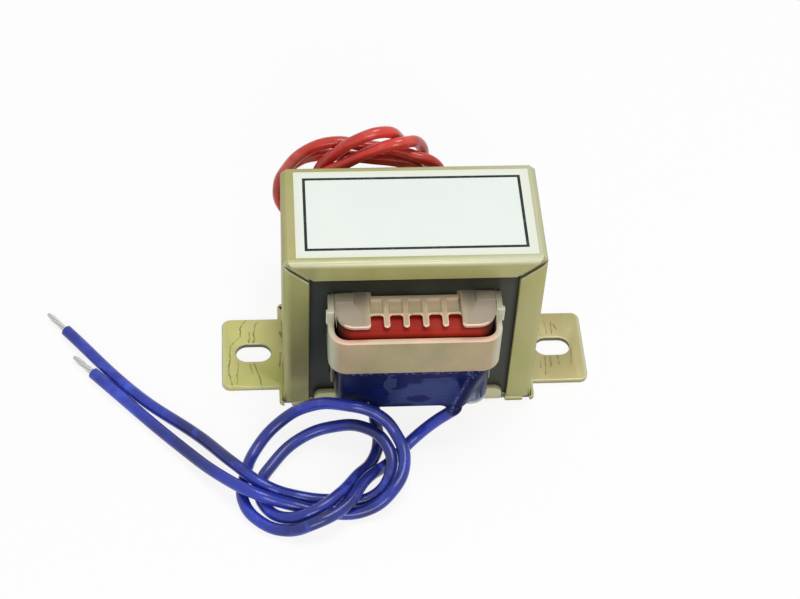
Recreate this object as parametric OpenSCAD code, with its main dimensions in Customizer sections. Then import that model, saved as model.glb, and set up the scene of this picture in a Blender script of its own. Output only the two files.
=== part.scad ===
// Laminated chassis transformer.
// Interleaved E and I sheets in a folded channel frame on a footed base plate,
// a two-chamber bobbin with push-on winding covers, and four flying leads.
// The origin is on the ground under the middle of the core: X runs along the
// feet, Y from front to rear, Z up.

/* [Core] */
// Overall width of an E sheet
core_w = 48; // [44:0.5:54]
// Width of the middle leg
tongue_w = 16; // [14:0.5:18]
// Width of each outer leg
leg_w = 8; // [6:0.5:10]
// Height of a yoke, which is also the height of an I sheet
yoke_h = 8; // [6:0.5:10]
// Height of the winding window
window_h = 24; // [22:0.5:30]
// Thickness of one core sheet
sheet_t = 0.5; // [0.35:0.05:0.65]
// Number of sheets in the stack
sheet_count = 48; // [40:2:56]

/* [Channel frame] */
// Thickness of the frame's sheet
frame_t = 1; // [0.8:0.1:1.5]
// Outer radius of the frame's folds
fold_r = 1.2; // [0.8:0.1:2]
// Width of the upright flanges
side_flange_w = 5; // [3.5:0.1:6]
// Height of the upper flanges
top_flange_h = 4.6; // [3:0.1:6]
// Gap between the mitred flange ends
mitre_gap = 1; // [0.4:0.1:1.6]
// Width of a tab that is staked into the base plate
tab_w = 5; // [3:0.5:6]
// Distance of a tab from the middle of the side
tab_offset = 5.5; // [4:0.5:8]

/* [Base plate] */
// Thickness of the base plate
base_t = 1.2; // [0.8:0.1:2]
// Overall length over the feet
foot_span = 75; // [70:0.5:84]
// Width of a foot
foot_w = 18; // [14:0.5:22]
// Corner radius of a foot
foot_r = 1.8; // [0.5:0.1:4]
// Distance between the middles of the two slots
slot_spacing = 62; // [60:0.5:66]
// Length of a slot
slot_l = 7.2; // [5.5:0.1:8]
// Width of a slot
slot_w = 4.6; // [3:0.1:5]
// How far the plate stands out past the side webs
shoulder = 0.9; // [0.4:0.1:1.5]
// Length of the folded lip
lip_l = 38; // [28:0.5:39]
// Height of the folded lip above the ground
lip_h = 4.1; // [2.5:0.1:6]
// Radius of the lip's upper corners
lip_r = 1.6; // [0.5:0.1:2]
// Width of the relief cuts in the plate's edges
relief_w = 1.4; // [0.6:0.1:1.8]

/* [Label] */
// Length of the label
label_l = 45.8; // [30:0.2:47]
// Width of the label
label_w = 22.4; // [16:0.2:23.4]
// Thickness of the label
label_t = 0.15; // [0.1:0.05:0.3]
// Distance of the printed border from the label's edge
border_inset = 1.7; // [0.8:0.1:3]
// Width of the printed line
border_line = 0.55; // [0.3:0.05:1]
// Thickness of the printed film
film_t = 0.05; // [0.05:0.05:0.1]

/* [Bobbin] */
// Wall of the bobbin's tube
tube_t = 0.8; // [0.6:0.1:1]
// Thickness of the flange between the two chambers
mid_flange_t = 0.8; // [0.6:0.1:1.5]
// Thickness of the end flanges at their corner pads
pad_t = 1.8; // [1.3:0.1:2.4]
// Thickness of the end flanges at their combs
comb_t = 1; // [0.7:0.1:1.2]
// How far the corner pads reach out from the core's face
pad_reach = 9.2; // [8.4:0.1:10]
// Corner radius of the pads
pad_r = 3.4; // [2:0.1:4]
// Number of wire notches in a comb
notch_count = 5; // [3:1:5]
// Distance from one wire notch to the next
notch_pitch = 3.7; // [3.5:0.1:4]
// Width of a wire notch
notch_w = 2.5; // [2.3:0.1:2.7]
// Depth of a wire notch
notch_depth = 3.2; // [2.6:0.1:3.6]
// Depth of the pockets behind the notches
pocket_depth = 0.5; // [0.2:0.1:0.6]

/* [Winding covers] */
// Wall of a winding cover outside the core
cover_t = 1.2; // [0.8:0.1:1.6]
// Wall of a winding cover inside the window
cover_window_t = 0.6; // [0.4:0.1:0.8]
// How far a cover's front wall stands out from the core's face
cover_reach = 10; // [9.6:0.1:11]
// Outer corner radius of a cover
cover_r = 3.7; // [2:0.1:4.5]
// Height of the front wall
cover_h = 9; // [6:0.1:9.8]
// Depth of the high cheeks beside the flange pads
cheek_l = 4.8; // [3:0.1:5.5]

/* [Windings] */
// Thickness of the tape round a winding
tape_t = 0.4; // [0.2:0.05:0.6]
// How far the primary winding's tape stands out from the core's face
primary_reach = 8.3; // [7.8:0.1:8.5]
// How far the secondary winding's tape stands out from the core's face
secondary_reach = 9.6; // [9:0.1:10]
// Corner radius of the taped windings
winding_r = 2.8; // [2:0.1:3.5]

/* [Leads] */
// Diameter over a lead's insulation
lead_d = 2.4; // [1.8:0.1:2.4]
// Diameter of a tinned end
tip_d = 1.3; // [0.8:0.1:1.6]
// Length of a tinned end
tip_l = 6; // [3:0.5:8]

/* [Fits] */
// Clearance between parts that are pushed together
fit = 0.2; // [0.1:0.05:0.3]
// Clearance of the bobbin in the height of the window
window_gap = 0.3; // [0.1:0.05:0.6]
// Clearance between a cheek and the flange pads beside it
cheek_gap = 0.4; // [0.2:0.05:0.6]
// Clearance between the rim of a cover and the flange above it
rim_gap = 1.3; // [0.6:0.1:3]
// Clearance at each end of a winding
coil_gap = 0.1; // [0.05:0.05:0.2]
// Sideways offset of the label on the frame
label_shift = 0.4; // [0:0.1:0.6]

/* [Hidden] */
$fn = 48;
cut = 0.01;
steel = [0.36, 0.38, 0.37];
zinc = [0.71, 0.69, 0.45];
nylon = [0.9, 0.86, 0.76];
copper = [0.72, 0.42, 0.24];
tape_red = [0.63, 0.16, 0.12];
tape_blue = [0.14, 0.18, 0.5];
lead_red = [0.78, 0.2, 0.17];
lead_blue = [0.13, 0.17, 0.6];
tinned = [0.75, 0.76, 0.78];

// Core
face_y = sheet_count * sheet_t / 2;
window_x = core_w / 2 - leg_w;
core_z = base_t;
e_h = yoke_h + window_h;
core_top = core_z + e_h + yoke_h;
window_z = core_z + yoke_h;
window_top = window_z + window_h;

// Frame
frame_x = core_w / 2 + frame_t;
frame_y = face_y + frame_t;
frame_top = core_top + frame_t;
opening_x = frame_x - side_flange_w;
opening_top = frame_top - top_flange_h;
tab_x = core_w / 2;

// Base plate
plate_x = frame_x + shoulder;
plate_y = face_y + base_t;
plate_corner_r = 1;
lip_bend_r = base_t + 0.2;
relief_depth = 1.5;
relief_x = frame_x - 0.1 - relief_w;
lip_relief_w = 0.8;

// Bobbin
bobbin_z = window_z + window_gap;
bobbin_top = window_top - window_gap;
flange_x = window_x - fit - cover_window_t - fit;
tube_inner_x = tongue_w / 2 + fit;
tube_inner_y = face_y + fit;
tube_x = tube_inner_x + tube_t;
tube_y = tube_inner_y + tube_t;
mid_z = (bobbin_z + bobbin_top - mid_flange_t) / 2;
pad_y = face_y + pad_reach;
pad_inner_r = 0.8;
finger_y = pad_y - 0.8;
notch_back_y = finger_y - notch_depth;
comb_x = ((notch_count - 1) * notch_pitch + notch_w) / 2;
pocket_back_y = tube_y + 0.3;
pocket_front_y = notch_back_y - 0.7;
block_w = 3.4;
block_l = 2.8;
block_h = 0.4;

// Winding covers
cover_x = flange_x + cheek_gap + cover_t;
cover_y = face_y + cover_reach;
cover_rim = bobbin_top - pad_t - rim_gap;
cheek_y = face_y + fit;
cheek_top = bobbin_top - fit;
window_wall_x = window_x - fit - cover_window_t;
window_wall_reach = 2.8;
window_wall_y = face_y + window_wall_reach;
latch_l = 1;
latch_t = 0.4;

// Windings
winding_x = flange_x - fit;
primary_z = mid_z + mid_flange_t + coil_gap;
primary_top = bobbin_top - pad_t - coil_gap;
secondary_z = bobbin_z + pad_t + coil_gap;
secondary_top = mid_z - coil_gap;
skirt_z = bobbin_z + 0.3;
skirt_t = 0.3;
ridge_r = lead_d / 2 + tape_t;
ridge_top = [11.4, 19.5];
ridge_end_gap = 1;

// Leads, from the winding to the end of the insulation. The two secondary leads share one
// loose overhand loop on the floor, the two primary leads one on the rear cover.
secondary_route_1 = [
    [7.6, -22.9, 9.6], [4, -23.2, 6.2], [0, -24.6, 2.7], [-4.3, -28.6, 1.4], [-9.5, -34.5, 3.9],
    [-14, -41.3, 4.5], [-20, -44.6, 3.9], [-25.3, -44.4, 1.6], [-30.3, -41.9, 1.3],
    [-33.4, -37, 1.3], [-33, -31, 1.3], [-30.8, -25, 1.6], [-26, -20.5, 4.3], [-20, -20, 8.7],
    [-13, -23.2, 12.7], [-7, -24.5, 11.2], [-3.4, -27, 8], [-2, -32, 5.9], [-5, -38.2, 4.2],
    [-10, -40.5, 1.8], [-17, -40.5, 1.4], [-23.5, -39.2, 2.3], [-30.8, -37.8, 4.6],
    [-37.5, -32.5, 3.3], [-45, -24.5, 1.7], [-63.5, -4.5, 1.3]
];
secondary_route_2 = [
    [-7.4, -18.6, 11.2], [-7.4, -19, 9], [-7.2, -20.9, 5.4], [-6.6, -24, 2.3], [-7.8, -28, 1.4],
    [-11.3, -33, 2.8], [-14.8, -38, 4.2], [-20, -41.8, 4], [-25.2, -41.8, 2], [-29, -38.8, 1.3],
    [-30.2, -34, 1.3], [-27.5, -28.5, 1.5], [-22, -23.5, 2.8], [-15.5, -22, 4.4],
    [-9.5, -23.5, 5.9], [-5.4, -27.5, 5.8], [-4.6, -32.6, 4.2], [-8.3, -37, 1.6],
    [-16, -37.5, 1.4], [-23, -36.5, 1.6], [-29, -35.5, 3.9], [-35, -30, 3.8], [-42, -21.5, 1.7],
    [-54, -11, 1.4], [-69.5, 7, 1.3]
];
primary_route_1 = [
    [7.4, 18.6, 31.2], [7.4, 19, 33.3], [5.8, 19.4, 36.1], [1.9, 20, 37.6], [-2.5, 21.6, 37.9],
    [-8, 22.6, 38.1], [-14, 23.2, 38.6], [-19.3, 23, 36.7], [-23.6, 23, 31.3], [-25.2, 23, 26],
    [-24.4, 22.3, 21.5], [-22.1, 20.3, 20.3], [-20, 18.4, 21.5], [-18.9, 17.6, 26],
    [-18.1, 17.5, 33.3], [-12.4, 18.7, 36.7], [-5, 19.4, 40.5], [-0.6, 19.8, 41.5],
    [2.9, 22.6, 38.6], [4.4, 24.6, 30], [5, 28, 9.5], [9.5, 33.5, 2], [16, 37, 1.4],
    [19, 43, 1.3]
];
primary_route_2 = [
    [3.7, 18.5, 31.6], [3.6, 19.5, 33], [2.2, 20.2, 34.7], [-1.5, 20.8, 35.4], [-6, 21.7, 35.3],
    [-11, 22.8, 35], [-17, 23.6, 34.6], [-21.5, 24.9, 31.5], [-24, 25.4, 26.5],
    [-23.2, 24.7, 22.3], [-21, 23, 21.2], [-18.8, 21.4, 22.3], [-17.8, 20.8, 27],
    [-17.2, 20.7, 33], [-14, 20.6, 37.8], [-9.2, 20.5, 42], [-4.6, 21.4, 42.9],
    [-1.2, 23.9, 39], [0.2, 25.2, 32], [-3, 28, 9.5], [-7, 33.5, 2], [-13, 37, 1.4],
    [-16, 43, 1.3]
];
tube_sides = 8;

// A rectangle from one corner to the other with round corners
module rounded_rect(low, high, r) {
    translate([low.x + r, low.y]) square([high.x - low.x - 2 * r, high.y - low.y]);
    translate([low.x, low.y + r]) square([high.x - low.x, high.y - low.y - 2 * r]);
    for (x = [low.x + r, high.x - r], y = [low.y + r, high.y - r])
        translate([x, y]) circle(r);
}

// Turns an outline drawn in X and Z into a slab from y = front to y = rear
module slab_xz(front, rear) {
    translate([0, rear, 0]) rotate([90, 0, 0]) linear_extrude(rear - front) children();
}

// Turns an outline drawn in Y and Z into a slab of the given length, centred on X
module slab_yz(length) {
    translate([-length / 2, 0, 0]) rotate([90, 0, 90]) linear_extrude(length) children();
}

// Repeats its children at the front and, turned round, at the rear
module front_and_rear() {
    children();
    rotate([0, 0, 180]) children();
}

// Repeats its children on the right and mirrored on the left
module both_sides() {
    children();
    mirror([1, 0, 0]) children();
}

// ---- Frame and base plate ----

// The solid block that the folded frame is bent from: every edge has the fold's radius
module frame_block() {
    intersection() {
        linear_extrude(frame_top + cut)
            rounded_rect([-frame_x, -frame_y], [frame_x, frame_y], fold_r);
        slab_xz(-frame_y - 1, frame_y + 1)
            rounded_rect([-frame_x, base_t - 2 * fold_r], [frame_x, frame_top], fold_r);
        slab_yz(2 * frame_x + 2)
            rounded_rect([-frame_y, base_t - 2 * fold_r], [frame_y, frame_top], fold_r);
        translate([-frame_x, -frame_y, base_t]) cube([2 * frame_x, 2 * frame_y, core_w * 2]);
    }
}

// The open corner between a side flange and the upper flange
module mitre_cut() {
    translate([opening_x, 0, opening_top])
        rotate([0, -atan2(top_flange_h, side_flange_w), 0])
            translate([-mitre_gap, -frame_y - 1, -mitre_gap / 2])
                cube([2 * side_flange_w + 2, frame_y - face_y + 1, mitre_gap]);
}

module channel_frame() {
    color(zinc) {
        difference() {
            frame_block();
            translate([-core_w / 2, -face_y, 0]) cube([core_w, 2 * face_y, core_top]);
            translate([-opening_x, -frame_y - 1, 0])
                cube([2 * opening_x, 2 * frame_y + 2, opening_top]);
            front_and_rear() both_sides() mitre_cut();
        }
        // Tabs staked flush into the base plate
        both_sides()
            for (y = [-tab_offset, tab_offset])
                translate([tab_x, y - tab_w / 2, 0]) cube([frame_t, tab_w, base_t + cut]);
    }
}

// Folded edge of the base plate, drawn in Y and Z
module lip_profile() {
    difference() {
        union() {
            translate([-plate_y, lip_bend_r]) square([2 * base_t, lip_h - lip_bend_r]);
            translate([-plate_y + lip_bend_r, 0]) square([2 * base_t - lip_bend_r, lip_h]);
            translate([-plate_y + lip_bend_r, lip_bend_r]) circle(lip_bend_r);
        }
        translate([-face_y, base_t]) square([2 * base_t, lip_h]);
    }
}

module base_plate() {
    color(zinc) {
        difference() {
            linear_extrude(base_t) {
                rounded_rect([-plate_x, -plate_y], [plate_x, plate_y], plate_corner_r);
                rounded_rect([-foot_span / 2, -foot_w / 2], [foot_span / 2, foot_w / 2], foot_r);
            }
            both_sides() {
                // Fixing slot
                for (x = [-1, 1])
                    translate([slot_spacing / 2 + x * (slot_l - slot_w) / 2, 0, -1])
                        cylinder(h = base_t + 2, d = slot_w);
                translate([slot_spacing / 2 - (slot_l - slot_w) / 2, -slot_w / 2, -1])
                    cube([slot_l - slot_w, slot_w, base_t + 2]);
                // Holes for the frame's staked tabs
                for (y = [-tab_offset, tab_offset])
                    translate([tab_x - fit / 2, y - (tab_w + fit) / 2, -1])
                        cube([frame_t + fit, tab_w + fit, base_t + 2]);
            }
            front_and_rear() {
                // The edge is cut back where the lip is folded up
                translate([-lip_l / 2 - lip_relief_w, -plate_y - 1, -1])
                    cube([lip_l + 2 * lip_relief_w, 1 + relief_depth, base_t + 2]);
                both_sides()
                    translate([relief_x, -plate_y - 1, -1])
                        cube([relief_w, 1 + relief_depth, base_t + 2]);
            }
        }
        front_and_rear()
            intersection() {
                slab_yz(lip_l) lip_profile();
                slab_xz(-plate_y - 1, 0)
                    rounded_rect([-lip_l / 2, -2 * lip_r], [lip_l / 2, lip_h], lip_r);
            }
    }
}

module label() {
    color("white")
        translate([label_shift - label_l / 2, -label_w / 2, frame_top])
            cube([label_l, label_w, label_t]);
}

// Printed rectangle, a film on the label
module label_border() {
    border_l = label_l - 2 * border_inset;
    border_w = label_w - 2 * border_inset;
    color("black")
        translate([label_shift, 0, frame_top + label_t])
            linear_extrude(film_t)
                difference() {
                    square([border_l, border_w], center = true);
                    square([border_l - 2 * border_line, border_w - 2 * border_line], center = true);
                }
}

// ---- Core ----

// E outline in X and Z, standing on its yoke
module e_outline() {
    difference() {
        translate([-core_w / 2, 0]) square([core_w, e_h]);
        for (x = [-window_x, tongue_w / 2])
            translate([x, yoke_h]) square([window_x - tongue_w / 2, window_h + 1]);
    }
}

// The E of sheet number i: even sheets stand on their yoke, odd ones hang from it
module e_sheet(i) {
    upright = i % 2 == 0;
    y = -face_y + i * sheet_t;
    color(steel)
        translate([0, 0, upright ? core_z : core_top])
            slab_xz(y, y + sheet_t)
                mirror([0, upright ? 0 : 1]) e_outline();
}

// The I of sheet number i closes the open end of its E
module i_sheet(i) {
    upright = i % 2 == 0;
    color(steel)
        translate([-core_w / 2, -face_y + i * sheet_t, upright ? core_top - yoke_h : core_z])
            cube([core_w, sheet_t, yoke_h]);
}

module front_e_lamination() { e_sheet(0); }
module front_i_lamination() { i_sheet(0); }
module rear_e_lamination() { e_sheet(sheet_count - 1); }
module rear_i_lamination() { i_sheet(sheet_count - 1); }
module upright_e_laminations() { for (i = [2 : 2 : sheet_count - 2]) e_sheet(i); }
module inverted_e_laminations() { for (i = [1 : 2 : sheet_count - 2]) e_sheet(i); }
module upper_i_laminations() { for (i = [2 : 2 : sheet_count - 2]) i_sheet(i); }
module lower_i_laminations() { for (i = [1 : 2 : sheet_count - 2]) i_sheet(i); }

// ---- Bobbin and winding covers ----

// Corner pad of an end flange, on the right at the front
module pad_outline() {
    x = flange_x - pad_r;
    y = pad_y - pad_r;
    translate([comb_x, -y]) square([flange_x - comb_x, y]);
    translate([comb_x + pad_inner_r, -pad_y]) square([x - comb_x - pad_inner_r, pad_r]);
    translate([comb_x, -pad_y + pad_inner_r]) square([x - comb_x, pad_r]);
    translate([comb_x + pad_inner_r, -pad_y + pad_inner_r]) circle(pad_inner_r);
    intersection() {
        translate([x, -y]) circle(pad_r);
        translate([comb_x, -pad_y]) square([flange_x - comb_x, pad_y]);
    }
}

// Middle of an end flange, with its row of fingers
module comb_outline() {
    notch_r = 0.6;
    finger_w = notch_pitch - notch_w;
    translate([-comb_x - cut, -notch_back_y]) square([2 * comb_x + 2 * cut, notch_back_y]);
    for (i = [0 : notch_count - 2]) {
        x = (i - (notch_count - 2) / 2) * notch_pitch;
        translate([x, -finger_y + finger_w / 2]) circle(d = finger_w);
        translate([x - finger_w / 2, -finger_y + finger_w / 2])
            square([finger_w, notch_depth]);
    }
    // Round inner corners of the notches
    for (i = [0 : notch_count - 1], side = [-1, 1]) {
        x = (i - (notch_count - 1) / 2) * notch_pitch + side * notch_w / 2;
        difference() {
            translate([x - notch_r / 2 - side * notch_r / 2, -notch_back_y - notch_r])
                square([notch_r, notch_r + cut]);
            translate([x - side * notch_r, -notch_back_y - notch_r]) circle(notch_r);
        }
    }
}

// The upper end flange; the lower one is its mirror image
module end_flange() {
    translate([0, 0, bobbin_top - pad_t])
        front_and_rear() {
            linear_extrude(pad_t) both_sides() pad_outline();
            difference() {
                linear_extrude(comb_t) comb_outline();
                for (i = [0 : notch_count - 1])
                    translate([(i - notch_count / 2) * notch_pitch + (notch_pitch - notch_w) / 2,
                               -pocket_front_y, comb_t - pocket_depth])
                        cube([notch_w, pocket_front_y - pocket_back_y, comb_t]);
            }
            // Raised corner blocks beside the core
            both_sides()
                translate([0, 0, pad_t])
                    linear_extrude(block_h)
                        rounded_rect([flange_x - block_w, -face_y - fit - block_l],
                                     [flange_x, -face_y - fit], 0.3);
        }
}

module bobbin() {
    color(nylon)
        difference() {
            union() {
                translate([-tube_x, -tube_y, bobbin_z + pad_t - comb_t])
                    cube([2 * tube_x, 2 * tube_y, bobbin_top - bobbin_z - 2 * (pad_t - comb_t)]);
                end_flange();
                translate([0, 0, bobbin_top + bobbin_z]) mirror([0, 0, 1]) end_flange();
                translate([0, 0, mid_z])
                    linear_extrude(mid_flange_t)
                        rounded_rect([-flange_x, -cover_y + cover_t + fit],
                                     [flange_x, cover_y - cover_t - fit], cover_r - cover_t - fit);
            }
            translate([-tube_inner_x, -tube_inner_y, 0])
                cube([2 * tube_inner_x, 2 * tube_inner_y, core_top]);
        }
}

// One of the two covers, on the front; they meet in the middle of the window
module winding_cover() {
    color(nylon) {
        // Shroud in front of the primary chamber
        translate([0, 0, mid_z])
            linear_extrude(cover_rim - mid_z)
                difference() {
                    rounded_rect([-cover_x, -cover_y], [cover_x, 0], cover_r);
                    rounded_rect([-cover_x + cover_t, -cover_y + cover_t],
                                 [cover_x - cover_t, cover_r], cover_r - cover_t);
                    translate([-cover_x - 1, -cheek_y]) square([2 * cover_x + 2, cheek_y + 1]);
                }
        both_sides() {
            // Cheek beside the flange pad, with its latch
            translate([cover_x - cover_t, -cheek_y - cheek_l, mid_z])
                cube([cover_t, cheek_l, cheek_top - mid_z]);
            translate([cover_x - cut, -cheek_y - cheek_l, cover_rim])
                cube([latch_t, latch_l, cheek_top - cover_rim]);
            // Wall between the windings and the outer leg
            translate([window_wall_x, -window_wall_y, bobbin_z])
                cube([cover_window_t, window_wall_y - fit / 2, cheek_top - bobbin_z]);
        }
    }
}

module front_winding_cover() { winding_cover(); }
module rear_winding_cover() { rotate([0, 0, 180]) winding_cover(); }

// ---- Windings ----

// A ring round the bobbin's tube
module ring(inner, outer, inner_r, outer_r, z, top) {
    translate([0, 0, z])
        linear_extrude(top - z)
            difference() {
                rounded_rect(-outer, outer, outer_r);
                rounded_rect(-inner, inner, inner_r);
            }
}

module winding(reach, z, top) {
    wire_x = winding_x - tape_t;
    wire_y = face_y + reach - tape_t;
    color(copper)
        ring([tube_x + coil_gap, tube_y + coil_gap], [wire_x, wire_y], 0.2, winding_r - tape_t, z, top);
}

module tape(reach, z, top) {
    outer = [winding_x, face_y + reach];
    ring(outer - [tape_t, tape_t], outer, winding_r - tape_t, winding_r, z, top);
}

module primary_winding() { winding(primary_reach, primary_z, primary_top); }
module primary_tape() { color(tape_red) tape(primary_reach, primary_z, primary_top); }
module secondary_winding() { winding(secondary_reach, secondary_z, secondary_top); }

// The tape's bulge over the first secondary lead, which crosses the front of the coil
module lead_ridge(y) {
    low = secondary_route_1[0];
    high = [ridge_top.x, -y, ridge_top.y];
    d = unit(high - low);
    intersection() {
        translate(low + ridge_end_gap * d)
            rotate([0, acos(d.z), atan2(d.y, d.x)])
                cylinder(h = norm(high - low) - ridge_end_gap, r = ridge_r);
        translate([-flange_x, -y - 2 * ridge_r, secondary_z])
            cube([2 * flange_x, 2 * ridge_r + cut, secondary_top - secondary_z]);
    }
}

module secondary_tape() {
    y = face_y + secondary_reach;
    color(tape_blue) {
        tape(secondary_reach, secondary_z, secondary_top);
        lead_ridge(y);
        // Last turns of tape lap over the ends of the lower fingers
        front_and_rear()
            translate([-comb_x + coil_gap, -y, skirt_z])
                cube([2 * comb_x - 2 * coil_gap, tape_t + skirt_t, secondary_z - skirt_z]);
    }
}

// ---- Leads ----

function unit(v) = v / norm(v);
function along(pts, i) =
    unit(pts[min(i + 1, len(pts) - 1)] - pts[max(i - 1, 0)]);
function square_to(t, n) = unit(n - (n * t) * t);
// Carries a direction square to the route from each point to the next
function carried(pts, i, n) =
    i == len(pts) ? [] :
    let (m = square_to(along(pts, i), n)) concat([m], carried(pts, i + 1, m));

module lead(route) {
    r = lead_d / 2;
    n = len(route);
    normals = carried(route, 0, [0.31, 0.17, 0.93]);
    rings = [
        for (i = [0 : n - 1])
            let (a = normals[i], b = cross(along(route, i), a))
            for (k = [0 : tube_sides - 1])
                route[i] + r * (cos(360 * k / tube_sides) * a + sin(360 * k / tube_sides) * b)
    ];
    sides = [
        for (i = [0 : n - 2], k = [0 : tube_sides - 1])
            let (a = i * tube_sides + k, b = i * tube_sides + (k + 1) % tube_sides)
            each [[a, a + tube_sides, b], [b, a + tube_sides, b + tube_sides]]
    ];
    ends = [
        [for (k = [0 : tube_sides - 1]) k],
        [for (k = [tube_sides - 1 : -1 : 0]) (n - 1) * tube_sides + k]
    ];
    polyhedron(rings, concat(sides, ends));
}

// Bare strands past the end of the insulation, soaked in solder
module tip(route) {
    n = len(route);
    d = unit(route[n - 1] - route[n - 2]);
    color(tinned)
        translate(route[n - 1])
            rotate([0, 90 - asin(d.z), atan2(d.y, d.x)])
                cylinder(h = tip_l, d = tip_d);
}

module secondary_lead_1() { color(lead_blue) lead(secondary_route_1); }
module secondary_lead_2() { color(lead_blue) lead(secondary_route_2); }
module primary_lead_1() { color(lead_red) lead(primary_route_1); }
module primary_lead_2() { color(lead_red) lead(primary_route_2); }
module secondary_tip_1() { tip(secondary_route_1); }
module secondary_tip_2() { tip(secondary_route_2); }
module primary_tip_1() { tip(primary_route_1); }
module primary_tip_2() { tip(primary_route_2); }

channel_frame();
base_plate();
label();
label_border();
front_e_lamination();
front_i_lamination();
rear_e_lamination();
rear_i_lamination();
upright_e_laminations();
inverted_e_laminations();
upper_i_laminations();
lower_i_laminations();
bobbin();
front_winding_cover();
rear_winding_cover();
primary_winding();
primary_tape();
secondary_winding();
secondary_tape();
secondary_lead_1();
secondary_lead_2();
primary_lead_1();
primary_lead_2();
secondary_tip_1();
secondary_tip_2();
primary_tip_1();
primary_tip_2();
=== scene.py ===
# %% [markdown]
# # A small mains transformer on its chassis frame
# The part is a stack of thin steel sheets, clamped in a folded and yellow-plated steel channel.
# A white plastic bobbin holds two coils of wire, each closed with coloured tape, and each coil
# has two flexible leads that end in bare, tinned strands.
# The rigid pieces come from the CAD frame. This script gives them their finish, rounds the edges
# that a press or a mould leaves round, and models what is soft: leads, strands and tape.

import math

import bpy
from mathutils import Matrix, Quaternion, Vector


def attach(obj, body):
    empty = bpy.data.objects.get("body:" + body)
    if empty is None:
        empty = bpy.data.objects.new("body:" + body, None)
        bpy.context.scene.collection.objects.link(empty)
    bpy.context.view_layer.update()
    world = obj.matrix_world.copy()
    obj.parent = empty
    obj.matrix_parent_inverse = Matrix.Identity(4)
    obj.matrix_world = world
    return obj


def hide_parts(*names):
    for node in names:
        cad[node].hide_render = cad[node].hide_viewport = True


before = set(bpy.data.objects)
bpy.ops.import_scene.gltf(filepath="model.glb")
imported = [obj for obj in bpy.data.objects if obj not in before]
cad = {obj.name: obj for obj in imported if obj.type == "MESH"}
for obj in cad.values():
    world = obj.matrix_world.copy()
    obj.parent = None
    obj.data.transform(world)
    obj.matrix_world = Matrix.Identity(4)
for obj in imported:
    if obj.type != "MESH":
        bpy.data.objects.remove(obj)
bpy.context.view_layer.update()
MM = 0.001

# %% [markdown]
# ## Camera
# A long lens from a raised stand sees the top, the front and a little of the left side. The
# camera looks at a point near the middle of the core and is rolled by a few degrees. It could be
# placed by hand, but two angles and a distance are easier to read and to change. It is made
# first, because everything after it is judged from there.

# %% Camera
LOOK_AT = Vector((-1.35, 0.15, 16.8)) * MM
DISTANCE = 388.5 * MM
AZIMUTH, ELEVATION, ROLL = math.radians(-6.09), math.radians(49.0), math.radians(3.39)
FOCAL_LENGTH, SENSOR_WIDTH = 87.0, 36.0

lens = bpy.data.cameras.new("camera")
lens.lens, lens.sensor_width = FOCAL_LENGTH, SENSOR_WIDTH
lens.clip_start, lens.clip_end = 0.01, 20.0
camera = bpy.data.objects.new("camera", lens)
bpy.context.scene.collection.objects.link(camera)
bpy.context.scene.camera = camera
back = Vector((
    math.sin(AZIMUTH) * math.cos(ELEVATION),
    -math.cos(AZIMUTH) * math.cos(ELEVATION),
    math.sin(ELEVATION),
))
camera.location = LOOK_AT + back * DISTANCE
camera.rotation_mode = "QUATERNION"
camera.rotation_quaternion = (-back).to_track_quat("-Z", "Y") @ Quaternion((0, 0, 1), ROLL)
print("camera at", [round(v, 3) for v in camera.location])

# %% [markdown]
# ## Working by hand, in code
# Each new piece is made with the operators that a modeller would click. They act on what is
# selected, so everything is deselected first, and points, edges or faces are then picked by
# their place or by their normal. These few helpers keep that in one spot.


# %% Helpers for selecting
def deselect_all():
    if bpy.context.object and bpy.context.object.mode != "OBJECT":
        bpy.ops.object.mode_set(mode="OBJECT")
    bpy.ops.object.select_all(action="DESELECT")


def make_active(piece):
    deselect_all()
    piece.select_set(True)
    bpy.context.view_layer.objects.active = piece


def pick(piece, kind, wanted):
    """Opens a piece with only the wanted ones of its points, edges or faces selected."""
    make_active(piece)
    bpy.ops.object.mode_set(mode="EDIT")
    bpy.ops.mesh.select_mode(type=kind)
    bpy.ops.mesh.select_all(action="DESELECT")
    bpy.ops.object.mode_set(mode="OBJECT")
    mesh = piece.data
    parts = {"VERT": mesh.vertices, "EDGE": mesh.edges, "FACE": mesh.polygons}[kind]
    for part in parts:
        part.select = bool(wanted(part))
    count = sum(part.select for part in parts)
    bpy.ops.object.mode_set(mode="EDIT")
    return count


def pick_points(piece, wanted):
    """Picks the points whose place in millimetres is wanted."""
    return pick(piece, "VERT", lambda vertex: wanted(vertex.co / MM))


def move_points(piece, wanted, offset, **falloff):
    """Picks points and moves them by an offset in millimetres."""
    count = pick_points(piece, wanted)
    bpy.ops.transform.translate(value=Vector(offset) * MM, **falloff)
    bpy.ops.object.mode_set(mode="OBJECT")
    return count


# %% Helpers for modifiers and for finishing a piece
def add_modifier(piece, kind, **settings):
    make_active(piece)
    modifier = piece.modifiers.new(kind.lower(), kind)
    for name, value in settings.items():
        setattr(modifier, name, value)


def apply_all(piece):
    make_active(piece)
    for modifier in list(piece.modifiers):
        bpy.ops.object.modifier_apply(modifier=modifier.name)


def settle(piece):
    """Puts the piece's place into its mesh, so its object sits at the origin."""
    make_active(piece)
    bpy.ops.object.transform_apply(location=True, rotation=True, scale=True)


def shade_smooth(piece, degrees):
    """Smooths the shading but for edges that turn by more than that many degrees."""
    make_active(piece)
    bpy.ops.object.shade_smooth_by_angle(angle=math.radians(degrees))


def finish_piece(piece, slot, *replaced):
    """The piece rides with the part and stands for its solids. Its slot is not used."""
    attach(piece, "root")
    if replaced:
        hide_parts(*replaced)


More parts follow.
